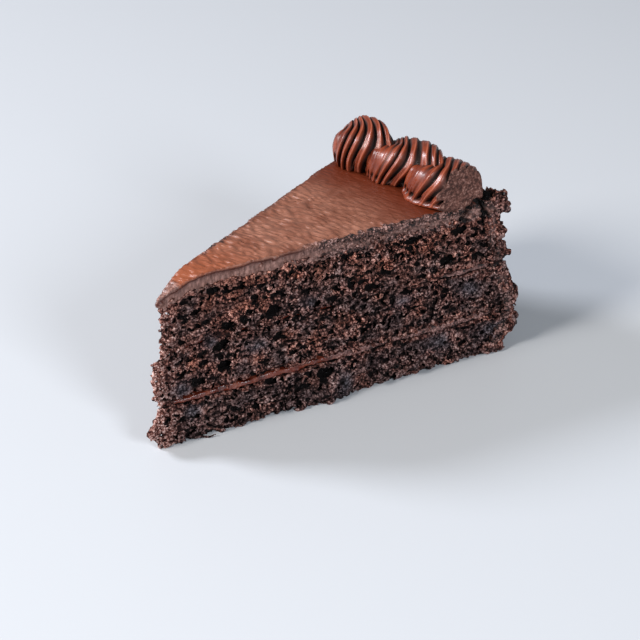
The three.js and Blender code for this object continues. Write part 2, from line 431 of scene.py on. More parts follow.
# Relief of the two cuts, as in the solid
def cragOf(block, level, depth, chunk=None):
    x, z = block["x"], block["z"]
    r = np.maximum(x / math.cos(halfAngle), 0)
    far = cake["radius"] * clamp01((r - cake["tipRound"]) / (rimAt(z) - cake["tipRound"])) ** (1 / 1.2)
    fade = ease(far / 14)
    sides = []
    for side in (-1, 1):
        relief = 0.75 * planNoise(far / 4.6, level / 3.8, side + 3)
        relief = depth * (relief + 0.5 * planNoise(far / 17, level / 9, side + 8))
        if chunk and side < 0:
            lump = bell(far, chunk["at"], chunk["wide"]) * bell(z, chunk["z"], chunk["high"])
            relief = relief + chunk["out"] * lump
        sides.append(fade * relief)
    return np.where(block["y"] < 0, sides[0], sides[1])


# The crack round the lump that broke loose under the last shell
def crackDepth(block):
    x, y, z = placesOf(block)
    crack = cake["crack"]
    across = (x / math.cos(halfAngle) - crack["at"]) / crack["wide"]
    up = (z - crack["z"]) / crack["high"]
    turn = np.arctan2(up, across)
    ring = np.hypot(across, up) + 0.16 * np.sin(3 * turn + 1) + 0.08 * np.sin(7 * turn)
    gone = ease(1.3 + 1.2 * np.sin(turn + 0.35))
    return (y < 0) * crack["deep"] * bell(ring, 1.0, 0.22) * gone


# Share of the lump inside the crack
def lumpShare(x, y, z, spread):
    crack = cake["crack"]
    across = bell(x / math.cos(halfAngle), crack["at"], spread * crack["wide"])
    return (y < 0) * across * bell(z, crack["z"], spread * crack["high"])


# What the crack takes out of crumb that was set on the cut
def crackCut(block, flat):
    crack = crackDepth(block)
    return flat + crack - 3 * (1 - clamp01(crack))


# Random lumps or holes that hug a surface: rows of x, y, z, radius, three stretches. kind says how many in a
# cubic millimetre, their radii, and the distances from the surface that their centres keep to.
def placesNear(block, distance, kind, rng, where=None):
    spans = [axis[-1] - axis[0] for axis in block["axes"]]
    count = int(kind["density"] * np.prod(spans))
    spots = np.stack([rng.uniform(axis[0], axis[-1], count) for axis in block["axes"]], 1).astype(np.float32)
    away = sampleAt(block, distance, spots)
    kept = (away > kind["off"][0]) & (away < kind["off"][1])
    if where is not None:
        kept &= sampleAt(block, where, spots) > rng.random(count)
    spots = spots[kept]
    small, large = kind["radius"]
    radius = small + (large - small) * rng.random(len(spots)) ** 1.6
    stretch = np.array(kind.get("stretch", (1.2, 1.0, 0.9)))
    stretch = stretch * rng.uniform(0.75, 1.25, (len(spots), 3))
    return np.concatenate([spots, radius[:, None], stretch], 1)


# Chocolate sponge: baked crumb, torn open by the knife

crumb = {
    "voxel": 0.465,
    "flatten": 0.08,
    "layers": {
        "sponge_bottom": {"reach": 3.2, "crag": 1.0, "seed": 21},
        "sponge_middle": {"reach": 3.0, "crag": 0.9, "seed": 22},
        "sponge_top": {"reach": -1.6, "crag": 0.9, "seed": 23},
    },
    # holes and lumps: radii (mm), how many in a cubic millimetre, and how far off the cut their centres lie
    "holes": [
        {"radius": (0.3, 0.58), "density": 1.15, "off": (-0.95, 0.35)},
        {"radius": (0.6, 1.0), "density": 0.1, "off": (-1.4, 0.4), "stretch": (1.4, 1.0, 0.85)},
        {"radius": (1.1, 1.8), "density": 0.006, "off": (-1.0, 0.2), "stretch": (1.5, 1.0, 0.8)},
    ],
    "lumps": {"radius": (0.4, 0.95), "density": 0.38, "off": (-0.45, 0.35)},
    "clods": {"radius": (1.0, 2.1), "density": 0.02, "off": (-1.0, -0.1), "stretch": (1.5, 1.0, 0.8)},
    "bend": 0.3,
    "bendSize": 1.3,
    "grain": 0.14,
    "grainSize": 0.8,
    "spreadDepth": 2.6,  # from this deep out to the cut it spreads over what is next to it
    "overRim": 4.4,  # how far it spreads towards the rim
    "overTop": 2.2,  # and up over the icing
    "shadeReach": 1.2,  # what is shut in on all sides within this reach is painted dark as shade
    # the lump that the knife pulled out at the foot of the near cut, and the crumb that juts from the tip
    "chunk": {"at": 66.0, "z": 4.0, "wide": 7.0, "high": 5.0, "out": 3.2},
    "tipCrumb": {"z": 7.4, "high": 2.6, "out": 3.4},
    # the deepest holes of the near cut: distance from the tip, height and radius
    "caves": [
        (13, 47, 1.6), (25, 39, 1.9), (25, 52, 1.4), (41, 40, 2.2), (42, 30, 1.8), (23, 25, 2.2),
        (56, 39, 1.7), (65, 42, 1.3), (77, 39, 1.5), (74, 52, 1.6), (93, 53, 2.0), (107, 42, 2.2),
        (112, 52, 1.7), (91, 34, 1.6), (118, 24, 1.5), (60, 11, 2.4), (102, 30, 1.5),
    ],
    # the largest clods of the near cut, in the same terms
    "nearClods": [
        (113, 45, 2.0), (121, 48, 2.5), (127, 44, 2.2), (124, 39, 2.1), (129, 50, 2.5), (116, 37, 1.9),
        (129, 32, 2.4), (131, 24, 2.6), (122, 20, 2.1), (128, 13, 2.3), (118, 8, 1.9), (108, 50, 1.8),
        (98, 48, 1.7), (84, 45, 1.8), (96, 22, 1.9), (76, 26, 1.7), (52, 48, 1.6), (48, 24, 1.7),
        (32, 46, 1.6), (36, 8, 1.7), (90, 8, 1.9),
    ],
    # strands that hang from the foot of the near cut: their radius and the points that they run through
    "strands": [
        (0.5, [(10, -2.0, 0.7), (12.4, -4.4, 0.5), (14.6, -6.0, 0.5), (16.2, -6.9, 0.9)]),
        (0.42, [(8, -1.6, 1.5), (10.5, -4.2, 0.9), (12.2, -5.8, 0.5)]),
        (0.6, [(17, -4.2, 1.2), (19.5, -6.2, 0.6), (21, -6.6, 0.6)]),
        (0.8, [(116, -28.0, 1.2), (120, -32.6, 0.9), (124.1, -34.0, 0.9)]),
        (
            0.55,
            [(123, -33.8, 0.9), (126.4, -34.7, 1.3), (127.6, -35, 2.2), (128.7, -35, 1.5), (129, -35, 0.5)],
        ),
    ],
    # patches that the knife pressed shut, smooth and with few holes, which are painted bluish grey as
    # reflected sky: distance from the tip, height, half width and half height
    "pressed": [
        (115, 29, 5, 4), (89, 31, 5, 3), (103, 11, 6, 4), (66, 5, 4, 5), (54, 40, 3, 3), (18, 35, 3, 3),
        (7, 20, 4, 4), (11, 10, 3, 3), (34, 29, 5, 3), (126, 10, 5, 3),
    ],
    # colours, from the gaps between the beads of crumb, painted nearly black as shade, to their tops
    "shades": {
        "tones": ("#a6a4a9", "#e6e0e0", "#ffe4da", "#ffcfb8"),
        # painted shade for the holes: deep under the cut and where the crumb is shut in
        "paintedShade": "#040101",
        "open": ("#050101", "#271512", "#684943", "#9f7e78", "#e6c8be"),
        "closed": ("#150c0b", "#45312e", "#6b5552", "#9f8682"),
        # the reddish wet tip, lightened towards pinkish white as a painted highlight
        "moistTipGlint": ("#28110f", "#805349", "#e6c6bd"),
        "smear": ("#260f0c", "#704339", "#b48a7e"),
        # painted reflection: the bluish grey of the sky on the smooth pressed patches
        "pressed": ("#141215", "#39363b", "#6c6970"),
    },
}
stack = ["sponge_bottom", "filling_lower", "sponge_middle", "filling_upper", "sponge_top"]


# Foot and head of a layer at the rim, where nothing droops
def levelsOf(name):
    place = stack.index(name)
    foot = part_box(stack[place - 1])[1].z / mm + cake["gap"] if place else 0.0
    return foot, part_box(name)[1].z / mm


# How much the cream shows at the cuts: where it doesn't, crumb closes over it
cream = {
    "voxel": 0.4,
    "flatten": 0.03,
    "swell": 0.45,  # how far it squeezes up and down where the crumb gives way
    "waves": 0.3,
    "press": 0.55,  # how far it comes out of the cut where it shows
    "recess": 1.6,  # and how far it lies back where it doesn't
    "visible": 1.7,  # how thick it is between the crumb that hangs over it
    "wet": ("#3c1108", "#602617", "#7c4534"),
    "dull": ("#1f0f0c", "#573833", "#7d5852", "#ab8880"),
    # shows: distance from the tip and share, along the near cut
    "layers": {
        "filling_lower": {
            "reach": 0.6,
            "seed": 31,
            "smearedFrom": 56,
            "shows": [
                (0, 0.5), (10, 1.0), (50, 0.9), (70, 0.75), (80, 0.35), (100, 0.6), (120, 0.7), (128, 0.1),
            ],
        },
        "filling_upper": {
            "reach": 1.2,
            "seed": 32,
            "smearedFrom": 60,
            "shows": [(0, 0.15), (60, 0.0), (96, 0.2), (108, 0.7), (118, 0.5), (125, 0.1)],
        },
    },
}


def creamShows(block, name):
    layer = cream["layers"][name]
    places, shares = zip(*layer["shows"])
    x, y = block["x"], block["y"]
    near = np.interp(x / math.cos(halfAngle), places, shares)
    patches = planNoise(x / 9, 0 * x, layer["seed"])
    return np.where(y < 0, clamp01(near + 0.25 * patches), clamp01(0.45 + 0.6 * patches)).astype(np.float32)


def pressedShare(block):
    x, y, z = placesOf(block)
    far = x / math.cos(halfAngle)
    near = 0.0
    for at, height, wide, high in crumb["pressed"]:
        near = near + np.exp(-(((far - at) / wide) ** 2) - ((z - height) / high) ** 2)
    away = planNoise(x / 11, z / 6, 77)
    return np.where(y < 0, clamp01(0.9 * near), clamp01(2.2 * away - 0.7)).astype(np.float32)


# Crumb next to cream that shows has taken up some of it
def smearShare(block, name, points):
    x, y, z = points.T
    level = levelOf(x, z)
    place = stack.index(name)
    share = np.zeros(len(points))
    for side, thick in ((-1, 1.8), (1, 0.8)):
        if 0 < place + side < len(stack):
            shows = sampleAt(block, creamShows(block, stack[place + side]), points)
            away = side * (levelsOf(name)[side > 0] - level)
            share = np.maximum(share, shows * clamp01(1.4 - away / thick))
    share = share * (1 + 0.5 * planNoise(x / 3, level / 1.5, 90))
    # and so has the crumb towards the rim, in patches
    patches = clamp01(1.8 * planNoise(x / 3.5, z / 3.5, 91) - 0.5)
    share = np.maximum(share, 0.9 * patches * ease((x - 92) / 20))
    # the lump inside the crack is mostly icing
    return clamp01(np.maximum(share, 1.2 * lumpShare(x, y, z, 1.1)))


# Small lumps in a row along each strand
def strandRows():
    rows = []
    for radius, spots in crumb["strands"]:
        spots = np.array(spots)
        count = 8 * len(spots)
        steps = np.linspace(0, len(spots) - 1, count)
        line = [np.interp(steps, np.arange(len(spots)), spots[:, axis]) for axis in range(3)]
        thick = radius * (1.15 - 0.4 * np.linspace(0, 1, count))
        rows.append(np.stack([*line, thick, *np.ones((3, count))], 1))
    return np.concatenate(rows)


# Lumps or holes on the near cut, from their distance from the tip, height and radius
def onNearCut(spots, back, stretch):
    run, aside = math.cos(halfAngle), math.sin(halfAngle)
    return [(s * run, back - s * aside, z, radius, *stretch) for s, z, radius in spots]


def spongeShape(name):
    layer = crumb["layers"][name]
    base, top = levelsOf(name)
    rng = np.random.default_rng(layer["seed"])
    seed = layer["seed"] * 100
    low, high = nodeBox(name, 2.2)
    high = high + (3.2, 0, 1.4)
    block = voxelBlock(low, high, crumb["voxel"])
    x, y, z = placesOf(block)
    level = levelOf(x, z)

    def reachAt(heights):
        reach = layer["reach"] * (0.55 + 0.45 * np.sin(np.pi * clamp01((heights - base) / (top - base))))
        tip = crumb["tipCrumb"]
        return reach + (0 if base else tip["out"] * bell(heights, tip["z"], tip["high"]))

    cut, tip = cutDistance(block, level, reachAt)
    whole = cut - cragOf(block, level, layer["crag"], None if base else crumb["chunk"])
    cut = np.maximum(whole + crackDepth(block), tip)
    # near the cuts the crumb spreads over the cream and the icing next to it
    byCut = ease((cut + crumb["spreadDepth"]) / 1.6)
    spread = blockNoise(block, (3.2, 30, 2.4), seed + 5)
    ragged = blockNoise(block, (1.5, 30, 1.5), seed + 6)
    rim = outsideSide(block) - byCut * (crumb["overRim"] + 0.9 * spread)
    ends = {-1: base - level if base else -z, 1: level - top}
    place = stack.index(name)
    for side in ends:
        if 0 <= place + side < len(stack):
            thick = np.diff(levelsOf(stack[place + side]))[0]
            shows = creamShows(block, stack[place + side])
            shut = thick / 2 + 0.3 - (0.3 + cream["visible"] / 2) * shows + 0.4 * ragged
            ends[side] = ends[side] - byCut * shut
        elif side > 0:
            ends[side] = ends[side] - byCut * (crumb["overTop"] + 1.2 * spread + 0.5 * ragged)
    between = common(ends[-1], ends[1], rim)

    warp = warpOf(block, crumb["bendSize"], crumb["bend"], seed + 3)
    lumps = [placesNear(block, cut, crumb[kind], rng) for kind in ("lumps", "clods")]
    lumps = np.concatenate([*lumps, onNearCut(crumb["nearClods"], 0.9, (1.3, 1.0, 0.8))])
    lumps = lumpField(block, lumps, warp)
    wedge = common(joined(cut, lumps), between, crackCut(block, whole))
    if not base:
        wedge = joined(wedge, lumpField(block, strandRows(), warp))
    torn = 1 - np.maximum(pressedShare(block), clamp01(1.4 * lumpShare(x, y, z, 1)))
    holes = [placesNear(block, cut, kind, rng, torn) for kind in crumb["holes"]]
    holes = np.concatenate([*holes, onNearCut(crumb["caves"], 0.8, (1.5, 1.0, 0.8))])
    holes[:, 3] = np.minimum(holes[:, 3], 0.25 + 0.08 * np.maximum(holes[:, 0] + layer["reach"] + 1, 0))
    carved = lumpField(block, holes, warp)
    grain = crumb["grain"] * blockNoise(block, crumb["grainSize"], seed + 9) * (0.2 + 0.8 * byCut)
    body = common(common(wedge, -carved) + grain, outsideBox(block))
    piece, points = pieceOf(name + "_crumb", block, body, crumb["flatten"])
    # painted shade: points deep under the cut or shut in on all sides get the dark of the holes
    pits = clamp01((sampleAt(block, shutIn(block, body, crumb["shadeReach"]), points) - 0.55) / 0.5)
    addShares(piece, {
        "smear": smearShare(block, name, points),
        "depth": clamp01(-sampleAt(block, common(whole, tip), points) / 2.0 + pits),
        # the pressed patches, painted bluish grey as reflected sky
        "pressed": sampleAt(block, pressedShare(block), points),
        # the tip: reddish and wet, with a painted highlight
        "moistTipGlint": clamp01(1 - (points[:, 0] + 1) / 9),
    })
    return piece


# Crumb as it breaks: beads about 1 mm across, with gaps between them that the materials' ramps paint nearly
# black as shade. Gives their height.
def crumbTexture(add, place):
    sway = add("TexNoise", {"Vector": place, "Scale": 1 / (1.6 * mm), "Detail": 1.0}).outputs["Color"]
    sway = add("VectorMath", {0: sway, 3: 1.4 * mm}, operation="SCALE")
    bent = add("VectorMath", {0: place, 1: sway}, operation="ADD")
    beads = add("TexVoronoi", {"Vector": bent, "Scale": 1 / (0.95 * mm)}).outputs["Distance"]
    height = add("MapRange", {"Value": beads, "From Max": 0.85, "To Min": 1.0, "To Max": 0.0})
    # finer grain, and clumps
    for size, weight in ((0.42, 1.1), (2.4, 1.3)):
        noise = add("TexNoise", {"Vector": place, "Scale": 1 / (size * mm), "Detail": 2.0})
        swing = add("MapRange", {"Value": noise, "To Min": -weight / 2, "To Max": weight / 2})
        height = add("Math", {0: height, 1: swing}, operation="ADD")
    return height


# Chocolate sponge, baked: brown moist beads with wet glints, and painted shade that makes it nearly black
# between them and in its holes; a painted highlight lightens the tip
def crumbMaterial(shades):
    material, add = newMaterial("bakedCocoaCrumb")
    place = add("TexCoord").outputs["Object"]
    height = crumbTexture(add, place)
    # the dark ends of these ramps are painted shade in the gaps between the beads
    wall = add("ValToRGB", {"Fac": height}, zip((0.0, 0.25, 0.45, 0.7, 1.0), shades["open"]))
    closed = add("ValToRGB", {"Fac": height}, zip((0.0, 0.3, 0.55, 1.0), shades["closed"]))
    broad = add("Mapping", {"Vector": place, "Scale": (0.6, 0.6, 1.0)})
    broad = add("TexNoise", {"Vector": broad, "Scale": 1 / (5 * mm), "Detail": 3.0})
    share = add("ValToRGB", {"Fac": broad}, [(0.42, 0.0), (0.62, 1.0)])
    wall = add("Mix", {"Factor": share, "A": wall, "B": closed}, data_type="RGBA")
    # patches that are cooler or warmer, and warmer towards the top
    tone = add("TexNoise", {"Vector": place, "Scale": 1 / (7 * mm), "Detail": 3.0})
    high = add("SeparateXYZ", {"Vector": place}).outputs["Z"]
    high = add("MapRange", {"Value": high, "From Max": 60 * mm, "To Min": -0.1, "To Max": 0.1})
    tone = add("Math", {0: tone, 1: high}, operation="ADD")
    tone = add("ValToRGB", {"Fac": tone}, zip((0.33, 0.45, 0.56, 0.7), shades["tones"]))
    wall = add("Mix", {"Factor": 1.0, "A": wall, "B": tone}, data_type="RGBA", blend_type="MULTIPLY")
    for name in ("moistTipGlint", "smear", "pressed"):
        look = add("ValToRGB", {"Fac": height}, zip((0.1, 0.45, 1.0), shades[name]))
        share = add("Attribute", attribute_name=name).outputs["Fac"]
        wall = add("Mix", {"Factor": share, "A": wall, "B": look}, data_type="RGBA")
    # painted shade: the deeper under the cut and the more shut in, the nearer to black
    depth = add("Attribute", attribute_name="depth").outputs["Fac"]
    deep = add("ValToRGB", {"Fac": depth}, [(0.12, 0.0), (0.3, 0.65), (0.5, 1.0)])
    colour = add("Mix", {"Factor": deep, "A": wall, "B": shades["paintedShade"]}, data_type="RGBA")
    # the tops of the beads are wet
    wet = {"Value": height, "From Min": 0.4, "From Max": 0.9, "To Min": 0.9, "To Max": 0.22}
    rough = add("MapRange", wet)
    bump = add("Bump", {"Height": height, "Strength": 1.0, "Distance": 0.5 * mm})
    look = {"Base Color": colour, "Roughness": rough, "Normal": bump, "Specular IOR Level": 0.14}
    add("OutputMaterial", {"Surface": add("BsdfPrincipled", look)})
    return material


cocoaCrumb = crumbMaterial(crumb["shades"])
for name in crumb["layers"]:
    dress(spongeShape(name), name, cocoaCrumb)

# Chocolate cream between the sponges, pressed out a little at the cuts


def creamShape(name):
    layer = cream["layers"][name]
    base, top = levelsOf(name)
    seed = layer["seed"] * 100
    block = voxelBlock(*nodeBox(name, 2.0), cream["voxel"])
    x, y, z = placesOf(block)
    level = levelOf(x, z)
    cut, tip = cutDistance(block, level, lambda heights: layer["reach"] * 0.4 + 0 * heights)
    waves = blockNoise(block, (6, 6, 30), seed)
    shows = creamShows(block, name)
    press = cream["press"] * (0.7 + 0.5 * blockNoise(block, (4, 20, 20), seed + 1))
    cut = cut + cream["recess"] * (1 - shows) - press * shows
    cut = np.maximum(cut - 0.3 * blockNoise(block, (1.6, 1.2, 0.9), seed + 2), tip)
    middle, half = (base + top) / 2, (top - base) / 2
    swell = cream["swell"] * blockNoise(block, (3.5, 8, 30), seed + 5)
    slab = np.abs(level - middle - cream["waves"] * waves) - (half + swell)
    body = common(cut, outsideSide(block), slab)
    piece, points = pieceOf(name + "_cream", block, body, cream["flatten"])
    x, y, z = points.T
    smeared = ease((x + 5 * planNoise(x / 4, z / 2, 35) - layer["smearedFrom"]) / 16)
    addShares(piece, {"smeared": np.where(y < 0, smeared, clamp01(0.5 + planNoise(x / 9, 0, 36)))})
    return piece


# Chocolate cream: wet and red-brown where it is thick, dull and full of crumb where the knife smeared it
def creamMaterial():
    material, add = newMaterial("chocolateCream")
    place = add("TexCoord").outputs["Object"]
    broad = add("TexNoise", {"Vector": place, "Scale": 1 / (4 * mm), "Detail": 3.0})
    wet = add("ValToRGB", {"Fac": broad}, zip((0.35, 0.55, 0.7), cream["wet"]))
    height = crumbTexture(add, place)
    # the dark end of this ramp is painted shade between the beads of crumb
    dull = add("ValToRGB", {"Fac": height}, zip((0.0, 0.3, 0.6, 1.0), cream["dull"]))
    smeared = add("Attribute", attribute_name="smeared").outputs["Fac"]
    colour = add("Mix", {"Factor": smeared, "A": wet, "B": dull}, data_type="RGBA")
    rough = add("Mix", {"Factor": smeared, "A": 0.24, "B": 0.6}, data_type="FLOAT")
    fine = add("TexNoise", {"Vector": place, "Scale": 1 / (0.8 * mm), "Detail": 3.0})
    bump = add("Bump", {"Height": fine, "Strength": 0.6, "Distance": 0.3 * mm})
    bump = add("Bump", {"Height": height, "Strength": smeared, "Distance": 0.3 * mm, "Normal": bump})
    shader = add("BsdfPrincipled", {"Base Color": colour, "Roughness": rough, "Normal": bump})
    add("OutputMaterial", {"Surface": shader})
    return material


softCream = creamMaterial()
for name in cream["layers"]:
    dress(creamShape(name), name, softCream)

# Spread icing: over the top and down the rim

icing = {
    "voxel": 0.42,
    "flatten": 0.004,
    "seed": 41,
    "overhang": -1.0,
    "crag": 0.35,
    "edge": 2.0,
    # the blade's ripples: how high, how far apart and how long (mm), how they lean from straight across, and
    # where along the cake they fade
    "ripple": 0.42,
    "rippleApart": 0.85,
    "rippleLong": 1.9,
    "rippleLean": 0.22,
    "rippleFades": (70.0, 100.0),
    "bareTo": 8.2,  # from the tip to here the knife left the cut clean
    "crumblyFrom": 44.0,  # from here to the rim the knife dragged crumb over the cut
    "skin": 0.8,  # how thick the skin of the top is
    "skinWaves": 0.55,
    "lip": 0.3,  # how far the skin hangs over the cut
    "recess": 0.35,  # and how far a clean cut lies back under it
    "wall": 0.6,  # how far the wall stays under its crumbs
    "bend": 0.25,
    "bendSize": 1.3,
    "lumps": {"radius": (0.35, 0.95), "density": 0.42, "off": (-0.3, 0.35)},
    "holes": {"radius": (0.3, 0.7), "density": 0.45, "off": (-0.6, 0.3)},
    # lumps at the tip: x, y, height, radius and three stretches
    "tip": [(1.3, 0, 53.2, 1.5, 1.1, 0.8, 0.9)],
    "shades": {
        "skin": ("#6c4131", "#835746"),
        "tip": "#84482f",
        "rich": "#55210f",
        "cut": ("#4d312a", "#715047", "#967066"),
        # painted shade under the lip of the skin
        "underLipShade": "#3c1208",
        "dragged": ("#060303", "#2e1a16", "#67463f", "#ad8c85"),
        # painted shade in the deeper recesses of the cut and in the crack
        "paintedShade": "#070302",
    },
}


# Height of the ripples that the blade left on the top, from -1 to 1
def rippleAt(x, y):
    apart, long, lean = icing["rippleApart"], icing["rippleLong"], icing["rippleLean"]
    across = (x + lean * y) / math.hypot(1, lean)
    length = (y - lean * x) / math.hypot(1, lean)
    across = across + 0.5 * planNoise(x / 5, y / 5, 61)
    waves = planNoise(across / apart, length / long, 62)
    waves = waves + 0.25 * planNoise(across / (1.7 * apart), length / (1.6 * long), 63)
    start, end = icing["rippleFades"]
    edge = ease((x * math.tan(halfAngle) + cake["tipRound"] - y) / 3)
    return waves * edge * (0.3 + 0.7 * ease((end - x) / (end - start)))


def icingShape():
    low, high = nodeBox("icing", 2.0)
    high[2] = cake["height"] + 2.5
    block = voxelBlock(low, high, icing["voxel"])
    x, y, z = placesOf(block)
    rng = np.random.default_rng(icing["seed"])
    level = levelOf(x, z)

    def reachAt(heights):
        return icing["overhang"] * clamp01(heights / cake["height"]) ** 4

    cut, tip = cutDistance(block, level, reachAt)
    flat = np.maximum(cut - cragOf(block, level, icing["crag"]), tip)
    cut = np.maximum(flat + crackDepth(block), tip)
    spongeTop = levelsOf("sponge_top")[1] + cake["gap"] / 2
    r = np.sqrt(x * x + y * y)
    inner = np.maximum(level - spongeTop, r - (rimAt(z) - cake["sideIcing"]))

    # the skin of the top hangs over the cut as a wavy lip, and crumb covers the cut near the rim
    waves = blockNoise(block, (4.2, 40, 90), 42)
    skin = cake["height"] - icing["skin"] + icing["skinWaves"] * waves
    crumbly = ease((x - icing["crumblyFrom"]) / 16 + 0.6 * blockNoise(block, (6, 60, 5), 43))
    crumbly = crumbly * (y < 0) + (y >= 0) * ease(0.5 + 0.9 * blockNoise(block, (16, 60, 6), 44))
    bareTip = ease((icing["bareTo"] - x + 1.5 * blockNoise(block, 2.5, 50)) / 2.0)
    crumbly = crumbly * (1 - bareTip)
    lip = icing["lip"] * (1 - 0.75 * crumbly) * (0.7 + 0.5 * blockNoise(block, (4, 40, 90), 49))
    under = ease((skin - level) / 0.5)
    cut = cut - lip * (1 - under) + icing["recess"] * under * (1 - crumbly)
    cut = cut - 0.3 * crumbly * blockNoise(block, 1.3, 45)
    band = np.maximum(crumbly, 0.25) * (level < cake["height"] - 0.6 * (1 - crumbly))
    warp = warpOf(block, icing["bendSize"], icing["bend"], 46)
    lumps = [*placesNear(block, cut, icing["lumps"], rng, band), *np.array(icing["tip"])]
    lumps = lumpField(block, lumps, warp)
    holes = lumpField(block, placesNear(block, cut, icing["holes"], rng, band * crumbly), warp)

    head = level - cake["height"] - 0.25 * planNoise(x / 15, y / 12, 4) - icing["ripple"] * rippleAt(x, y)
    rim = r - (rimAt(level) - icing["wall"])
    edge = icing["edge"]
    corner = np.sqrt(np.maximum(head + edge, 0) ** 2 + np.maximum(rim + edge, 0) ** 2) - edge
    # lumps stay just under the top, but past the tip those on the near cut may rise over it
    lid = head + 0.2 - 0.7 * (x > 14) * (y < 0)
    body = joined(common(corner, head, rim, cut), common(lumps, lid, rim))
    body = common(body, -holes, crackCut(block, flat), -inner, -z, outsideBox(block))
    piece, points = pieceOf("icing_sheet", block, body, icing["flatten"])

    # painted shade: darker in the deeper recesses of the cut, below the top, and in the crack
    dark = clamp01(-flat / 1.7 - 0.2) * ease(1.3 + cut) * (head < -0.6)
    near = ease((cut + 1.7 + 1.1 * blockNoise(block, 1.6, 51)) / 0.8)
    strips = 1 - 0.6 * bell(level, cake["height"] - 3.1 + waves, 0.9)
    shares = {
        "top": 1 - np.maximum(under, bareTip),
        "depth": np.maximum(dark, clamp01(crackDepth(block) - 0.35) * (flat > -5)),
        # painted shade: a dark line under the lip, where the skin hangs over the cut
        "underLipShade": (1 - crumbly) * bell(level, skin - 0.35, 0.8) * (cut > -1),
        "crumbly": crumbly * strips * near,
    }
    addShares(piece, {name: sampleAt(block, share, points) for name, share in shares.items()})
    addShares(piece, {
        "rich": ease((np.hypot(points[:, 0], points[:, 1]) - 72) / 30),
        "tip": ease((46 - points[:, 0]) / 34),
    })
    return piece


# Chocolate icing, spread: a satin skin, redder near the shells, greyer and duller where the knife cut it,
# with painted shade under the lip, in the recesses of the cut and in the crack
def icingMaterial(shades):
    material, add = newMaterial("spreadChocolateIcing")
    names = ("tip", "rich", "top", "underLipShade", "crumbly", "depth")
    share = {name: add("Attribute", attribute_name=name).outputs["Fac"] for name in names}
    place = add("TexCoord").outputs["Object"]
    broad = add("TexNoise", {"Vector": place, "Scale": 1 / (9 * mm), "Detail": 3.0})
    sheet = add("ValToRGB", {"Fac": broad}, zip((0.35, 0.65), shades["skin"]))
    for name in ("tip", "rich"):
        sheet = add("Mix", {"Factor": share[name], "A": sheet, "B": shades[name]}, data_type="RGBA")
    drawn = add("Mapping", {"Vector": place, "Scale": (1.0, 1.0, 0.35)})
    drawn = add("TexNoise", {"Vector": drawn, "Scale": 1 / (0.8 * mm), "Detail": 3.0})
    band = add("ValToRGB", {"Fac": drawn}, zip((0.3, 0.5, 0.7), shades["cut"]))
    height = crumbTexture(add, place)
    # the dark end of this ramp is painted shade between the dragged beads
    dragged = add("ValToRGB", {"Fac": height}, zip((0.05, 0.3, 0.6, 1.0), shades["dragged"]))
    colour = add("Mix", {"Factor": share["top"], "A": band, "B": sheet}, data_type="RGBA")
    # painted shade under the lip and in the recesses and the crack, over the crumb that the knife dragged
    for name, over in (("underLipShade", shades["underLipShade"]), ("crumbly", dragged), ("depth", shades["paintedShade"])):
        colour = add("Mix", {"Factor": share[name], "A": colour, "B": over}, data_type="RGBA")
    rough = add("Mix", {"Factor": share["crumbly"], "A": 0.38, "B": 0.7}, data_type="FLOAT")
    # fine drag lines between the ripples, about 0.6 mm apart and 3 mm long
    lines = add("Mapping", {"Vector": place, "Rotation": (0, 0, -icing["rippleLean"])})
    lines = add("Mapping", {"Vector": lines, "Scale": (1.0, 0.2, 1.0)})
    lines = add("TexNoise", {"Vector": lines, "Scale": 1 / (0.6 * mm), "Detail": 2.0})
    bump = add("Bump", {"Height": lines, "Strength": 0.8, "Distance": 0.35 * mm})
    grain = {"Height": height, "Strength": share["crumbly"], "Distance": 0.35 * mm, "Normal": bump}
    bump = add("Bump", grain)
    look = {"Base Color": colour, "Roughness": rough, "Normal": bump, "Specular IOR Level": 0.35}
    add("OutputMaterial", {"Surface": add("BsdfPrincipled", look)})
    return material


dress(icingShape(), "icing", icingMaterial(icing["shades"]))

# Crumbs pressed into the rim

rimCrumbs = {
    "voxel": 0.5,
    "flatten": 0.05,
    "coat": 1.8,
    "count": 60,
    "small": 1.6,
    "large": 4.2,
    "seed": 11,
    "fineSeed": 51,
    # the larger clumps, as in the solid: degrees round from the middle, height, radius, distance off the rim
    "clumps": [
        (-13.6, 60.4, 3.2, -3), (-13.3, 57.4, 4.4, 0.4), (-14.1, 46.5, 2.6, 1.2), (-13.4, 39, 3.6, 0),
        (-13.6, 21, 4.2, -1), (-13.6, 9, 4.2, 0.4), (12.5, 54, 4, -0.5), (13.4, 26, 4.2, -1),
        (4, 44, 3.6, -1), (-3, 14, 4, -1),
    ],
    "lumps": {"radius": (0.5, 1.4), "density": 0.16, "off": (-0.9, 0.2), "stretch": (1.0, 1.1, 1.0)},
    "holes": {"radius": (0.4, 0.85), "density": 0.35, "off": (-0.8, 0.3), "stretch": (1.0, 1.0, 1.0)},
    "grain": 0.12,
}


# The same seeded draws, from 0 to 1, as in the solid
def drawsFrom(seed):
    state = seed
    while True:
        state = (state * 16807) % 2147483647
        yield state / 2147483647


def rimClumps():
    draws = drawsFrom(rimCrumbs["seed"])
    rows = []

    def add(degrees, z, size, off):
        next(draws)
        stretch = [0.8 + 0.5 * next(draws), 0.8 + 0.5 * next(draws), 0.7 + 0.4 * next(draws)]
        r = rimAt(z) + off
        angle = math.radians(degrees)
        rows.append((r * math.cos(angle), r * math.sin(angle), z, size, *stretch))

    for clump in rimCrumbs["clumps"]:
        add(*clump)
    for n in range(rimCrumbs["count"]):
        size = rimCrumbs["small"] + (rimCrumbs["large"] - rimCrumbs["small"]) * next(draws) ** 2.5
        z = size + (cake["height"] - 2 * size) * ((n * 0.618) % 1)
        degrees = 13.4 * (2 * ((n + 0.5) / rimCrumbs["count"]) - 1) + 0.8 * (next(draws) - 0.5)
        add(degrees, z, size, -size * 0.3)
    return np.array(rows)


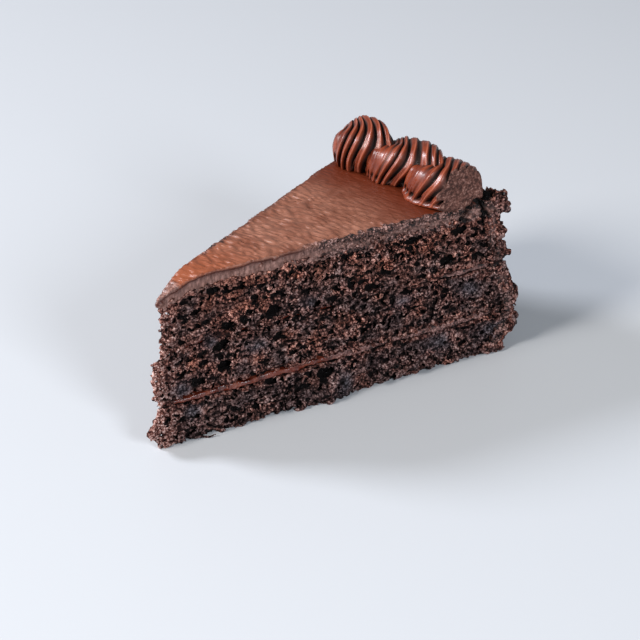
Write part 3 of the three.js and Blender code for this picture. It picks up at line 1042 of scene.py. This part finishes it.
def rimCrumbShape():
    low, high = nodeBox("icing", 1.0)
    low[0] = cake["radius"] - 12
    high[2] = cake["height"] + 3.5
    block = voxelBlock(low, high, rimCrumbs["voxel"])
    x, y, z = placesOf(block)
    rng = np.random.default_rng(rimCrumbs["fineSeed"])
    r = np.sqrt(x * x + y * y)
    share = np.arctan2(y, x) / halfAngle
    waves = 1.3 * planNoise(share * 6, z / 7, 5) + 0.8 * planNoise(share * 11, z / 4, 6)
    rim = r - (rimAt(z) + 0.7 * waves - 2.4 * clamp01((z - cake["height"] + 5) / 5) ** 2)
    side = (np.abs(y) - x * math.tan(halfAngle)) * math.cos(halfAngle) - 0.3
    coat = common(rim, -rim - rimCrumbs["coat"], side, -z, z - cake["height"] + 0.2)
    warp = warpOf(block, 1.8, 0.55, 52)
    fineWarp = warpOf(block, 1.2, 0.3, 56)
    clumps = lumpField(block, rimClumps(), warp)
    skin = joined(rim, clumps)
    small = lumpField(block, placesNear(block, skin, rimCrumbs["lumps"], rng), fineWarp)
    surface = joined(skin, small)
    holes = lumpField(block, placesNear(block, surface, rimCrumbs["holes"], rng), fineWarp)
    body = common(joined(coat, clumps, common(small, side - 0.8)), -z, -rim - 6, -holes)
    body = common(body + rimCrumbs["grain"] * blockNoise(block, 0.8, 60), outsideBox(block))
    piece, points = pieceOf("rim_crumbs", block, body, rimCrumbs["flatten"])
    x, y, z = points.T
    degrees = np.degrees(np.arctan2(y, x))
    corners = (degrees < -11) * (bell(z, 10, 6) + 0.8 * bell(z, 59, 4))
    addShares(piece, {
        # painted shade: darker the deeper below the surface of the coat, in its holes
        "depth": clamp01(-sampleAt(block, common(surface, side), points) / 1.6),
        # patches painted bluish grey as reflected sky
        "pressed": clamp01(1.2 * planNoise(degrees / 2, z / 5, 58) - 0.5),
        "smear": clamp01(1.6 * planNoise(degrees, z / 5, 59) + corners),
    })
    return piece


dress(rimCrumbShape(), "icing", cocoaCrumb)

# Piped shells: humps laid along the rim, fluted by a star nozzle and sliced off by the knife at both ends

piping = {
    "round": 110.3,
    "rise": 4.6,
    "radius": 11.0,
    "turns": 156,
    "columns": 136,
    "crest": 0.45,
    "groove": 2.3,
    "shallow": 0.62,  # how much shallower the flutes are on top
    "narrow": 0.26,  # how much a shell's foot narrows towards the next shell
    "head": (32, 56),  # its head begins at this climb, and is full so many degrees further
    # how the flutes lean along the rim: degrees up from the inner foot, and a share of the lean
    "flow": [
        (-90, -1.3), (-35, -1.0), (-15, -0.75), (5, -0.42), (20, -0.15), (40, 0), (56, -0.08),
        (72, -0.3), (91, -0.9), (102, -1.3), (119, -1.9), (135, -2.2), (160, -2.4), (270, -1.3),
    ],
    # degrees round from the middle, how much higher it stands, lean below and above its shoulder, distances
    # to its two ends, how far its foot spreads, where its smooth shoulder ends, how much its head draws in,
    # how blunt and how domed it is, the crest that a fine flute splits off from, and where its crests lie
    "shells": {
        "piped_shell_1": {
            "at": 8.9, "lift": 1.3, "lean": (4.0, 6.0), "ends": (13.5, 15.4), "foot": 0.2,
            "smoothTo": -4.0, "round": 0.0, "blunt": 2.0, "dome": 0.3, "split": 6.0,
            "crests": (-12, -8.3, -5, -1.6, 1.7, 6, 9.7, 13, 16.5),
        },
        "piped_shell_2": {
            "at": 0.1, "lift": -0.2, "lean": (7.2, 5.0), "ends": (13.5, 23.5), "foot": 0.4,
            "smoothTo": 2.5, "round": 1.5, "blunt": 2.5, "dome": 0.8, "split": 9.3,
            "crests": (-10, -7, -4.2, -1.2, 1.8, 4.9, 9.3, 14.8, 18.3, 21.5, 25),
        },
        "piped_shell_3": {
            "at": -11.1, "lift": -0.3, "lean": (8.0, 5.5), "ends": (16, 23), "foot": 1.5,
            "smoothTo": 2.0, "round": 6.5, "blunt": 2.5, "dome": 0.75, "split": 6.0,
            "crests": (-14, -10, -6.5, -3, 1.7, 6, 10, 13.4, 17, 21, 25),
        },
    },
    # what the knife keeps: along the cake, up from just below the icing's top, and the steps of its sides
    "knife": {"x": (85, 132), "z": (-1.0, 81), "grid": (110, 44)},
    "shades": {
        "body": ("#5a200e", "#783319"),
        # painted highlight along the crest edges
        "edge": "#8c4832",
        # painted shade deep in the grooves and in the crack
        "deep": "#190703",
        "dragged": ("#34201b", "#53342c", "#66453c", "#8c6b61"),
    },
}


# The faces of a sheet, from the numbers of its points
def sheetQuads(numbers):
    near, far = numbers[:-1], numbers[1:]
    return np.stack([near[:, :-1], near[:, 1:], far[:, 1:], far[:, :-1]], -1).reshape(-1, 4)


# One hump. turn goes round it from below, and wind along it: a flute keeps its wind, and leans as it climbs
def shellMesh(name):
    shell = piping["shells"][name]
    seed = int(name[-1])
    turns, columns = piping["turns"], piping["columns"] + 1
    turn = 2 * np.pi * np.arange(turns)[:, None] / turns - 0.5 * np.pi
    climb = np.degrees(turn)
    flow = np.interp(climb, *zip(*piping["flow"]))
    flow = sum(np.roll(flow, shift, 0) for shift in range(-7, 8)) / 15
    left, right = shell["ends"]
    wind = np.linspace(-left, right, columns)[None, :]
    # the head is domed: towards the top it only gains its height further along
    headFrom, headOver = piping["head"]
    head = ease((climb - headFrom) / headOver) * ease((240 - climb) / 50)
    full = 1 + (0.62 * right - 1) * head
    start = left - shell["round"] * head
    share = clamp01(np.where(wind < full, (full - wind) / (full + start), (wind - full) / (right - full)))
    power = np.where(wind < full, shell["blunt"] - shell["dome"] * head, 3.2)
    # and its foot and its back narrow towards the next shell
    narrow = np.maximum(1 - head, 0.5 * ease((climb - 130) / 60))
    body = (1 - share**power) ** (1 / power) * (1 - piping["narrow"] * narrow * ease((wind - 1) / 13))
    lean = np.where(climb < 40, *shell["lean"])
    far = wind + lean * flow * clamp01((wind + left) / 18) * ease(3 * body)

    crests = np.array(shell["crests"], float)
    drift = wind + 0.25 * planNoise(wind / 5 + 3, turn * 1.3, seed)
    count = np.interp(drift, crests, np.arange(len(crests)))
    pitch = np.interp(drift, (crests[1:] + crests[:-1]) / 2, np.diff(crests))
    # pleats: from each crest a steep drop, and past the groove a step up to the flank of the next
    past = count - np.floor(count)
    rise = 0.82 * ease((past - 0.28) / 0.34) + 0.18 * past
    valley = (1 - np.exp(-((past * pitch / piping["crest"]) ** 2))) * (1 - rise)
    valley = valley - 0.1 * bell((1 - past) * pitch, 0.15, 0.4)
    low = clamp01((55 - climb) / 85)
    fine = bell(drift, shell["split"] - 0.6 - 2.9 * low, 0.55) * ease(3 * low)
    valley = valley * (1 - 0.55 * fine)
    # the shoulder at its near end is smooth and bulges, with fine creases
    fluted = ease((drift - shell["smoothTo"] + 4) / 5)
    fluted = common(fluted, 0.55 * head, 0.3 * ease(-climb / 12))
    depth = piping["groove"] * (0.08 + 0.92 * fluted)
    depth = depth * (1 + 0.2 * planNoise(np.floor(count), turn * 1.2, seed + 20))
    depth = depth * (1 - piping["shallow"] * ease((climb - 60) / 40))
    # the grooves of a spread foot end in pits above the bead round it
    bead = -np.degrees(np.arcsin((piping["rise"] + shell["lift"] - 0.6) / piping["radius"]))
    ends = clamp01(shell["foot"]) * (climb < 60)
    pits = 0.9 * ends * bell(climb, bead + 12, 6)
    depth = depth * (1 - ends * (1 - ease((climb - bead - 3) / 5)) + pits)
    foot = shell["foot"] * bell(climb, bead, 4.5)
    out = piping["radius"] * body - depth * valley * np.sqrt(body) + foot * body
    creases = 0.09 + 0.16 * (1 - fluted)
    out = out + creases * planNoise(drift / 0.75 + 1.5 * turn, turn * 1.6, seed) * body
    out = out + 0.16 * planNoise(wind / 2.5, turn * 3, seed + 40) * body
    out = np.where(body > 0, np.maximum(out, 0.3 * body), 0)

    full = np.ones_like(turn)
    points = np.stack([-out * np.cos(turn), -far * full, out * np.sin(turn)], -1).reshape(-1, 3)
    numbers = np.arange(turns * columns).reshape(turns, columns)
    quads = sheetQuads(np.concatenate([numbers, numbers[:1]]))
    angle = math.radians(shell["at"])
    level = cake["height"] + piping["rise"] + shell["lift"]
    place = Matrix.Translation((piping["round"] * math.cos(angle), piping["round"] * math.sin(angle), level))
    place = place @ Matrix.Rotation(angle, 4, "Z")
    points = points @ np.array(place.to_3x3()).T + np.array(place.translation)
    # painted shade: darker deep in the grooves
    deep = clamp01((valley * np.minimum(depth, 1.2) / 1.2 - 0.08) / 0.5) * full
    # painted highlight: lighter along the crest edges
    edge = bell((1 - past) * pitch, 0.3, 0.35) * fluted * full
    points, triangles, quads, kept = weld(points, quads)
    piece = meshObject(name + "_piping", points, triangles, quads)
    addShares(piece, {"deep": deep.ravel()[kept], "edge": edge.ravel()[kept]})
    return piece


# Joins points that fall together at a hump's two poles, and drops what folds away there
def weld(points, quads):
    _, first, place = np.unique(np.round(points, 4), axis=0, return_index=True, return_inverse=True)
    quads = place.reshape(-1)[quads]
    ring = np.roll(quads, -1, 1)
    distinct = quads != ring
    sides = distinct.sum(1)
    triangles = quads[sides == 3][distinct[sides == 3]].reshape(-1, 3)
    return points[first], triangles, quads[sides == 4], first


# A wedge as wide as the slice, with the knife's drag marks on its two sides
def knifeWedge():
    knife = piping["knife"]
    across, up = knife["grid"]
    x = np.linspace(*knife["x"], across + 1)[:, None]
    z = np.linspace(cake["height"] + knife["z"][0], knife["z"][1], up + 1)[None, :]
    points = []
    for side in (-1, 1):
        drag = 0.35 * planNoise(x / 2.2, z / 1.4, 5 + side)
        drag = drag + 0.25 * planNoise(x / 0.9, z / 0.8, 8 + side) - 0.1
        y = side * (x * math.tan(halfAngle) + drag - crackDepth({"x": x, "y": side, "z": z}))
        points.append(np.stack(np.broadcast_arrays(x, y, z), -1).reshape(-1, 3))
    near, far = np.arange(2 * (across + 1) * (up + 1)).reshape(2, across + 1, up + 1)
    both = np.stack([near, far])
    sheets = [near.T, far, both[:, :, 0].T, both[:, :, -1], both[:, 0], both[:, -1].T]
    quads = np.concatenate([sheetQuads(sheet) for sheet in sheets])
    return meshObject("knifeWedge", np.concatenate(points), np.zeros((0, 3), int), quads)


def sliceOff(piece, wedge):
    cutter = piece.modifiers.new("cut", "BOOLEAN")
    cutter.operation = "INTERSECT"
    cutter.solver = "MANIFOLD"
    cutter.object = wedge
    graph = bpy.context.evaluated_depsgraph_get()
    result = bpy.data.meshes.new_from_object(piece.evaluated_get(graph))
    piece.modifiers.clear()
    piece.data = result
    result.materials.clear()
    result.polygons.foreach_set("material_index", np.zeros(len(result.polygons), np.int32))
    result.polygons.foreach_set("use_smooth", np.ones(len(result.polygons), bool))
    points = np.empty(len(result.vertices) * 3, np.float32)
    result.vertices.foreach_get("co", points)
    x, y, z = (points.reshape(-1, 3) / mm - toRow).T
    side = x * math.tan(halfAngle) - np.abs(y)
    crack = clamp01(crackDepth({"x": x, "y": y, "z": z}) * (side < 5) - 0.35)
    addShares(piece, {"cut": ease(1.5 - side / 0.8) * (1 - crack)})
    # the crack gets the painted shade as well
    deep = np.empty(len(result.vertices), np.float32)
    result.attributes["deep"].data.foreach_get("value", deep)
    result.attributes["deep"].data.foreach_set("value", np.maximum(deep, crack).astype(np.float32))


# Buttercream: piped, so glossy and a little oily, with painted shade between the pleats and a painted
# highlight along their crests, and matt where the knife cut it
def pipingMaterial(shades):
    material, add = newMaterial("pipedChocolateButtercream")
    share = {name: add("Attribute", attribute_name=name).outputs["Fac"] for name in ("edge", "deep", "cut")}
    place = add("TexCoord").outputs["Object"]
    broad = add("TexNoise", {"Vector": place, "Scale": 1 / (5 * mm), "Detail": 2.0})
    body = add("ValToRGB", {"Fac": broad}, zip((0.35, 0.65), shades["body"]))
    # painted highlight along the crest edges, and painted shade deep in the grooves and the crack
    for name in ("edge", "deep"):
        body = add("Mix", {"Factor": share[name], "A": body, "B": shades[name]}, data_type="RGBA")
    # what the knife dragged over the cut: the same beads of crumb, half buried
    streaks = crumbTexture(add, place)
    # the dark end of this ramp is painted shade between the dragged beads
    dragged = add("ValToRGB", {"Fac": streaks}, zip((0.0, 0.35, 0.65, 1.0), shades["dragged"]))
    pores = add("TexNoise", {"Vector": place, "Scale": 1 / (0.7 * mm), "Detail": 2.0})
    sheen = {"Value": pores, "From Min": 0.35, "From Max": 0.65, "To Min": 0.28, "To Max": 0.44}
    sheen = add("Mix", {"Factor": share["deep"], "A": add("MapRange", sheen), "B": 0.85}, data_type="FLOAT")
    bump = add("Bump", {"Height": pores, "Strength": 0.2, "Distance": 0.15 * mm})
    grain = add("Bump", {"Height": streaks, "Strength": share["cut"], "Distance": 0.2 * mm, "Normal": bump})
    look = {"Base Color": body, "Roughness": sheen, "Normal": bump, "Specular IOR Level": 0.4}
    glossy = add("BsdfPrincipled", {**look, "Coat Weight": 0.1, "Coat Roughness": 0.22})
    look = {"Base Color": dragged, "Roughness": 0.75, "Normal": grain, "Specular IOR Level": 0.2}
    matt = add("BsdfPrincipled", look)
    shader = add("MixShader", {"Fac": share["cut"], 1: glossy, 2: matt})
    add("OutputMaterial", {"Surface": shader})
    return material


wedge = knifeWedge()
buttercream = pipingMaterial(piping["shades"])
for name in piping["shells"]:
    shell = shellMesh(name)
    sliceOff(shell, wedge)
    dress(shell, name, buttercream)
bpy.data.objects.remove(wedge)
